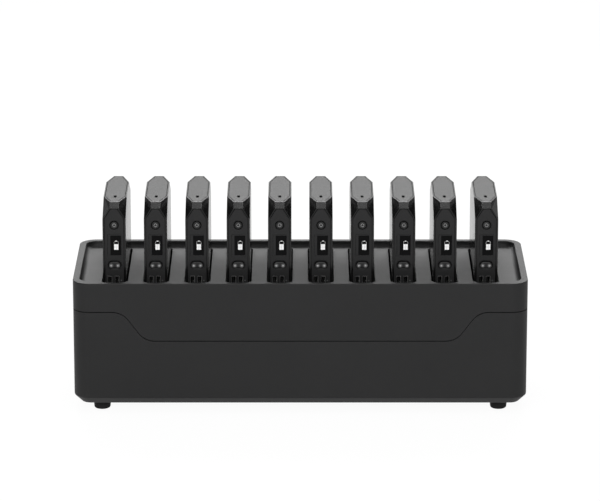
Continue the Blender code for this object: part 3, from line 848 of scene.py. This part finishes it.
def panelLoop(grow):
    half = case["thick"] / 2 - panel["border"] + grow
    tip = panel["top"] / 2 + grow / 2
    upper = [(half, -panel["shoulder"] + grow / 2), (tip, -panel["topDrop"] + grow)]
    return mirrored([(x, -case["height"] - z) for x, z in reversed(upper)] + upper)


def panelMesh():
    lens = [size + 2 * panel["lensGap"] for size in display["lens"]]
    loops = [panelLoop(-panel["gap"]),
             circle2d(panel["buttonHole"], (0, -button["drop"]), steps=48),
             box2d(*lens, (0, -display["drop"]), panel["lensRound"]),
             pill2d(*panel["keyHole"], (0, -key["drop"]))]
    loops += [box2d(*port["size"], spot, panel["portRound"]) for spot in portPlaces()]
    return settle(plate("panel", loops, panel["thick"], panel["edge"], panel["in"]))


display = {
    "drop": 49.5 * mm,
    "lens": (15.5 * mm, 24.5 * mm),
    "lensThick": 2.6 * mm,
    "lensRound": 0.6 * mm,
    "lensEdge": 0.15 * mm,
    "lensIn": 0.05 * mm,  # behind the panel's face
    "window": (12.2 * mm, 23.4 * mm),
    "windowThick": 0.3 * mm,
    "windowRound": 0.4 * mm,
    "windowShift": (1.55 * mm, -0.2 * mm),
    "signShift": (2.2 * mm, -2.1 * mm),
    "signThick": 0.1 * mm,
    "charge": (5 * mm, 6.7 * mm),
    "chargeGap": 0.14 * mm,
    "arch": (5.3 * mm, 3.7 * mm),  # the battery's empty top, open to the charge below
    "archRound": 0.75,  # share of its smaller side
    "archLine": 0.17 * mm,
    "nub": (1.9 * mm, 0.9 * mm),
    "nubRound": 0.3 * mm,
}


def lensMesh():
    loop = box2d(*display["lens"], (0, -display["drop"]), display["lensRound"])
    front = panel["in"] + display["lensIn"]
    return settle(plate("lens", [loop], display["lensThick"], display["lensEdge"], front))


def windowMesh():
    x, z = display["windowShift"]
    loop = box2d(*display["window"], (x, z - display["drop"]), display["windowRound"])
    return settle(plate("window", [loop], display["windowThick"], front=panel["in"]))


def archLoop(half, tall, steps=6):
    r = min(half, tall) * display["archRound"]
    turns = [math.pi / 2 * step / steps for step in range(steps + 1)]
    arc = [(half - r + r * math.cos(a), tall - r + r * math.sin(a)) for a in turns]
    return mirrored([(half, 0)] + arc)


def signMesh():  # battery sign: an arch with a nub over the charge in four cells
    x, z = display["signShift"][0], display["signShift"][1] - display["drop"]
    gap, thick = display["chargeGap"], display["signThick"]
    wide, tall = ((size - gap) / 2 for size in display["charge"])
    parts = []
    for column in (-1, 1):
        for level in (-1, 1):
            spot = (x + column * (wide + gap) / 2, z + level * (tall + gap) / 2)
            parts.append(plate("charge", [box2d(wide, tall, spot)], thick))
    (archWide, archTall), low = display["arch"], z + display["charge"][1] / 2
    outer, inner = ([(x + a, low + b) for a, b in archLoop(archWide / 2 - cut, archTall - cut)]
                    for cut in (0, display["archLine"]))
    parts.append(plate("arch", [outer + inner[::-1]], thick))
    nub = box2d(*display["nub"], (x, low + archTall), display["nubRound"])
    parts.append(plate("nub", [nub], thick))
    return shifted(joined("sign", parts), (0, panel["in"] - thick / 2, 0))


button = {
    "drop": 25.5 * mm,
    "size": 10.3 * mm,
    "face": 8.2 * mm,
    "thick": 2.4 * mm,
    "rimDrop": 2 * mm,
    "sign": (4 * mm, 2.9 * mm),  # outside and inside of its ring
    "signThick": 0.2 * mm,
    "signEdge": 0.05 * mm,
    "signIn": 0.2 * mm,
    "coreDepth": 1.2 * mm,  # inside the ring
    "dish": (0.33 * mm, 0.3 * mm),  # its depth at the core and at a share of the face
    "dishShare": 0.45,
    "crest": (  # inset and depth of each step
        (0.9 * mm, 0.08 * mm), (0.5 * mm, 0), (0.2 * mm, 0.1 * mm), (0, 0.4 * mm)),
}


def buttonMesh():
    r, face, low, back = button["size"] / 2, button["face"] / 2, button["rimDrop"], button["thick"]
    core, deep, (inner, outer) = button["sign"][1] / 2, button["coreDepth"], button["dish"]
    profile = [(0, -deep), (core, -deep), (core, -inner), (face * button["dishShare"], -outer)]
    profile += [(face - inset, -fall) for inset, fall in button["crest"]]
    profile += [(face, -low), (r, -low / 2), (r, -back), (0, -back)]
    return settle(toFront(turned("button", profile, steps=48), (0, panel["in"], -button["drop"])))


def buttonSignMesh():
    loops = [circle2d(size, (0, -button["drop"])) for size in button["sign"]]
    return plate("sign", loops, button["signThick"], button["signEdge"], panel["in"] + button["signIn"])


key = {
    "drop": 73.5 * mm,
    "size": (15.3 * mm, 9.7 * mm),
    "rim": 1.35 * mm,
    "rimDrop": 2 * mm,
    "thick": 2.4 * mm,
    "dome": (  # depth of each step, and its inset from the rim
        (0.6 * mm, 0), (0.3 * mm, 0.15 * mm), (0.12 * mm, 0.5 * mm), (0.03 * mm, 1.1 * mm), (0, 2 * mm)),
    "marks": 3.9 * mm,  # from the middle
    "markDrop": 0.8 * mm,
    "mark": 4.9 * mm,
    "markCore": 2.2 * mm,
    "markSunk": 0.3 * mm,
    "ringRise": (0.1 * mm, 0.08 * mm),  # at the core and before its outer slope
    "ringSlope": 0.3 * mm,
    "coreRise": (0.16 * mm, 0.14 * mm, 0.06 * mm),  # at the middle, a share of the core and its edge
    "coreShare": 0.6,
}


def keyMesh():  # a low dome on a wider foot
    (wide, tall), rim, low = key["size"], key["rim"], key["rimDrop"]
    steps = [(key["thick"], 0), (low / 2, 0), (low, rim)]
    steps += [(y, rim + inset) for y, inset in key["dome"]]
    spot = (0, -key["drop"])
    sections = [(panel["in"] + y, pill2d(wide - 2 * i, tall - 2 * i, spot)) for y, i in steps]
    return settle(loft("key", sections))


def onKey(name, profile, steps):  # one mark at each end of the key
    spots = [(side * key["marks"], panel["in"], -key["drop"] - key["markDrop"]) for side in (-1, 1)]
    return settle(joined(name, [toFront(turned("mark", profile, steps), spot) for spot in spots]))


def keyRingMesh():
    r, core, sunk = key["mark"] / 2, key["markCore"] / 2, -key["markSunk"]
    slope, (inner, outer) = key["ringSlope"], key["ringRise"]
    profile = [(core, sunk), (core, inner), (r - slope, outer), (r, 0), (r, sunk), (core, sunk)]
    return onKey("rings", profile, steps=28)


# the bright middle of each key mark is a painted highlight, not the mark's own colour
def keyCoreHighlightMesh():
    r, sunk, (middle, between, edge) = key["markCore"] / 2, -key["markSunk"], key["coreRise"]
    profile = [(0, middle), (key["coreShare"] * r, between), (r, edge), (r, sunk), (0, sunk)]
    return onKey("cores", profile, steps=24)


port = {
    "drop": 86.8 * mm,
    "shift": -1.4 * mm,
    "spacing": 8.4 * mm,
    "size": (5.4 * mm, 13.5 * mm),
    "depth": 12 * mm,
    "clear": 0.05 * mm,
    "wall": 0.3 * mm,
    "springWall": 0.7 * mm,  # wall of the sleeve that holds its spring
    "sleeveRound": 0.25 * mm,
    "sleeveFrom": 0.25 * mm,  # behind the front face
    "sleeveLength": 10 * mm,
    "spring": (1.2 * mm, 2.2 * mm),
    "springThick": 1.5 * mm,
    "springDrop": 5.8 * mm,  # below the top of the port
    "springFrom": 0.65 * mm,
    "tongue": (1.5 * mm, 11.6 * mm),
    "tongueShift": -0.75 * mm,
    "tongueEdge": 0.2 * mm,
    "tongueFrom": 5.5 * mm,
    "tongueLength": 6 * mm,
    "strip": (0.16 * mm, 1.1 * mm, 4 * mm),
    "stripShift": 0.06 * mm,
    "stripIn": 1.5 * mm,  # behind the tongue's front
    "stripStep": 2.6 * mm,
    "stripCount": 4,
    "light": 1.5 * mm,
    "lightX": 7.6 * mm,
    "lightDrop": 5.4 * mm,
    "lightRise": (0.12 * mm, 0.09 * mm),
    "lightSunk": 0.3 * mm,
}


def portPlaces():
    z = -port["drop"] - port["size"][1] / 2
    return [(port["shift"] + side * port["spacing"] / 2, z) for side in (-1, 1)]


def sleeveMesh():  # sheet-metal sleeve of both ports
    wall, springWall, corner = port["wall"], port["springWall"], port["sleeveRound"]
    wide, tall = (size - 2 * port["clear"] for size in port["size"])
    parts = []
    for x, z in portPlaces():
        middle = (x - (springWall - wall) / 2, z)
        loops = [box2d(wide, tall, (x, z), corner),
                 box2d(wide - wall - springWall, tall - 2 * wall, middle, corner)]
        parts.append(plate("sleeve", loops, port["sleeveLength"], front=port["sleeveFrom"]))
    return joined("sleeves", parts)


def springMesh():  # bent-in tab at the right of each port
    wide, tall = port["spring"]
    inside = port["size"][0] / 2 - port["clear"] - port["springWall"]
    parts = []
    for x, z in portPlaces():
        x += inside
        z += port["size"][1] / 2 - port["springDrop"]
        loop = [(x, z - tall / 2), (x, z + tall / 2), (x - wide, z - tall / 2)]
        parts.append(plate("spring", [loop], port["springThick"], front=port["springFrom"]))
    return joined("springs", parts)


def tongueMesh():
    parts = []
    for x, z in portPlaces():
        loop = box2d(*port["tongue"], (x + port["tongueShift"], z))
        parts.append(plate("tongue", [loop], port["tongueLength"], port["tongueEdge"],
                           port["tongueFrom"]))
    return joined("tongues", parts)


def contactMesh():  # strips on each tongue
    wide, tall, long = port["strip"]
    count, step = port["stripCount"], port["stripStep"]
    y = port["tongueFrom"] + port["stripIn"]
    lines = []
    for x, z in portPlaces():
        first = (x + port["stripShift"], y, z + (1 - count) / 2 * step)
        strip = plate("strip", [box2d(wide, tall)], long)
        lines.append(row("strips", strip, count, first, (0, 0, step), "sleeve"))
    return joined("contacts", lines)


def lightMesh():  # round charge light beside the ports
    size, sunk, (middle, between) = port["light"], -port["lightSunk"], port["lightRise"]
    profile = [(0, middle), (size / 3, between), (size / 2, 0), (size / 2, sunk), (0, sunk)]
    spot = (port["lightX"], panel["in"], -port["drop"] - port["lightDrop"])
    return settle(toFront(turned("light", profile, steps=20), spot))


packPieces = [  # label, maker, finish, ending of its body, ending of the node that it replaces, slot
    ("case", caseMesh, "case", "", "_case", "pack_case"),
    ("front panel", panelMesh, "panel", "", "_front_panel", "pack_panel"),
    ("display lens", lensMesh, "panel", "", "_display_lens", "display_glass"),
    ("display window", windowMesh, "window", "", None, "display_glass"),
    ("charge sign", signMesh, "lit display", "", None, "display_glass"),
    ("port sleeves", sleeveMesh, "sleeve", "", None, "sheet_steel"),
    ("port springs", springMesh, "nickel", "", None, "sheet_steel"),
    ("port tongues", tongueMesh, "inner", "", None, "inner_plastic"),
    ("port contacts", contactMesh, "sleeve", "", None, "sheet_steel"),
    ("charge light", lightMesh, "print", "", None, "display_glass"),
    ("power button", buttonMesh, "key", "_button", "_power_button", "key_plastic"),
    ("button sign", buttonSignMesh, "ring", "_button", None, "key_plastic"),
    ("twin key", keyMesh, "key", "_key", "_twin_key", "key_plastic"),
    ("key rings", keyRingMesh, "print", "_key", None, "key_plastic"),
    # the key cores' bright finish is a painted highlight
    ("key cores", keyCoreHighlightMesh, "mark", "_key", None, "key_plastic"),
]


def makePacks():
    for label, maker, finish, bodyEnding, nodeEnding, slotName in packPieces:
        master = maker()
        for name in packNames:
            low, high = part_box(name + "_case")
            mesh = master.data.copy()
            mesh.transform(Matrix.Translation(((low.x + high.x) / 2, low.y, high.z)))
            finished(place(camelName(f"{name}_{label}"), mesh), finish, name + bodyEnding,
                     nodeEnding and name + nodeEnding)
        drop(master)


makePacks()
print("packs made:", len(packNames))


# pieces inside the station keep their solids; each charge plug gets a metal barrel
innerFinishes = {"bay_frame": "inner", "charge_board": "board", "power_supply": "steel"}
plug = {
    "size": 5.5 * mm,
    "skin": 0.1 * mm,
    "length": 9.5 * mm,
    "tip": 0.5 * mm,
    "bore": 2.4 * mm,
    "boreLead": 0.4 * mm,
    "boreTaper": 0.3 * mm,
    "boreDepth": 2 * mm,
}


def makeInside():
    for node, finish in innerFinishes.items():
        paint(nodes[node].data, finishes[finish])
    low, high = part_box("pack_01_case")
    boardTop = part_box("charge_board")[1].z
    r, tip, top = plug["size"] / 2 + plug["skin"], plug["tip"], boardTop + plug["skin"]
    mouth, base, floor = plug["bore"] / 2, top - plug["length"], top - plug["boreDepth"]
    bore = mouth - plug["boreTaper"]
    barrel = turned("plug", [
        (0, floor), (bore, floor), (bore, top - plug["boreLead"]), (mouth, top),
        (r - tip, top), (r, top - tip), (r, base), (0, base)], steps=32)
    barrels = inBays("chargePlugs", barrel, (low.y + high.y) / 2, "nickel")
    finished(settle(barrels), "nickel", "station")


makeInside()
print("inside finished")


# floor, light and camera
studio = {
    "floorSize": 14,
    "floorShade": (0.86, 0.86, 0.86),
    "floorRoughness": 0.9,
    "shadowKept": 0.05,
    "skyForDiffuse": 0.55,
    "sideLevels": (0.3, 0.4),  # how bright left and right mirror in gloss
    "sideEdges": (0.3, 0.6),
    "sideRise": (0, 0.2),  # heights over which they darken
    "sideDark": 0.03,
    "lamps": {  # place, size and power of each soft box
        "topBox": ((0, -0.6, 2.2), (2.6, 1.8), 20),
        "backBox": ((0, 1.5, 1.5), (2.0, 0.9), 58),
        "frontBox": ((-0.4, -2.4, 1.7), (2.4, 1.2), 40),
    },
    "lampAim": (0, 0, 0.15),
    "cameraAt": (-0.0004, -4.3445, 1.4172),
    "cameraTilt": math.radians(74),
    "lens": 230.27,
    "sensor": 36,
}


def seenRays(tree):  # 1 for camera, mirror and glass rays
    path = tree.nodes.new("ShaderNodeLightPath")
    bounced = calc(tree, "MAXIMUM", path.outputs["Is Glossy Ray"], path.outputs["Is Transmission Ray"])
    return calc(tree, "MAXIMUM", path.outputs["Is Camera Ray"], bounced)


def ramp(tree, value, fromRange, toRange):  # a soft step between two levels
    step = tree.nodes.new("ShaderNodeMapRange")
    step.interpolation_type = "SMOOTHSTEP"
    for label, number in zip(("From Min", "From Max", "To Min", "To Max"), (*fromRange, *toRange)):
        wire(tree, number, step.inputs[label])
    wire(tree, value, step.inputs["Value"])
    return step.outputs["Result"]


def makeWorld(scene):
    world = bpy.data.worlds.new("studio")
    world.use_nodes = True
    scene.world = world
    tree = world.node_tree
    sky = tree.nodes["Background"]
    sky.inputs["Color"].default_value = (1, 1, 1, 1)
    way = tree.nodes.new("ShaderNodeSeparateXYZ")
    wire(tree, tree.nodes.new("ShaderNodeTexCoord").outputs["Generated"], way.inputs["Vector"])
    sides = []
    for sign, level in zip((-1, 1), studio["sideLevels"]):
        height = ramp(tree, way.outputs["Z"], studio["sideRise"], (level, studio["sideDark"]))
        across = calc(tree, "MULTIPLY", way.outputs["X"], sign)
        sides.append(ramp(tree, across, studio["sideEdges"], (1, height)))
    path = tree.nodes.new("ShaderNodeLightPath")
    shown = calc(tree, "MAXIMUM", calc(tree, "MULTIPLY", *sides), path.outputs["Is Camera Ray"])
    level = tree.nodes.new("ShaderNodeMapRange")
    level.inputs["To Min"].default_value = studio["skyForDiffuse"]
    wire(tree, shown, level.inputs["To Max"])
    wire(tree, seenRays(tree), level.inputs["Value"])
    wire(tree, level.outputs["Result"], sky.inputs["Strength"])


def makeFloor():
    finish = bpy.data.materials.new("studio floor")
    finish.use_nodes = True
    tree = finish.node_tree
    shader = tree.nodes["Principled BSDF"]
    shader.inputs["Base Color"].default_value = (*studio["floorShade"], 1)
    shader.inputs["Roughness"].default_value = studio["floorRoughness"]
    shader.inputs["Specular IOR Level"].default_value = 0
    white = tree.nodes.new("ShaderNodeEmission")
    mix = tree.nodes.new("ShaderNodeMixShader")
    wire(tree, calc(tree, "MULTIPLY", seenRays(tree), 1 - studio["shadowKept"]), mix.inputs["Fac"])
    wire(tree, shader.outputs["BSDF"], mix.inputs[1])
    wire(tree, white.outputs["Emission"], mix.inputs[2])
    wire(tree, mix.outputs["Shader"], tree.nodes["Material Output"].inputs["Surface"])
    bm = bmesh.new()
    bmesh.ops.create_grid(bm, x_segments=1, y_segments=1, size=studio["floorSize"] / 2)
    place("studioFloor", meshFrom(bm, "studioFloor"), finish)


def makeLamps():
    aim = Vector(studio["lampAim"])
    for name, (spot, size, power) in studio["lamps"].items():
        lamp = bpy.data.lights.new(name, "AREA")
        lamp.shape = "RECTANGLE"
        lamp.size, lamp.size_y = size
        lamp.energy = power
        holder = place(name, lamp)
        holder.location = spot
        holder.rotation_euler = (aim - holder.location).to_track_quat("-Z", "Y").to_euler()


def makeCamera(scene):
    camera = bpy.data.cameras.new("camera")
    camera.sensor_width = studio["sensor"]
    camera.sensor_fit = "HORIZONTAL"
    camera.lens = studio["lens"]
    stand = place("camera", camera)
    stand.location = studio["cameraAt"]
    stand.rotation_euler = (studio["cameraTilt"], 0, 0)
    scene.camera = stand


def makeStudio():
    scene = bpy.context.scene
    scene.view_settings.view_transform = "Standard"
    makeWorld(scene)
    makeFloor()
    makeLamps()
    makeCamera(scene)


makeStudio()
print("studio made")
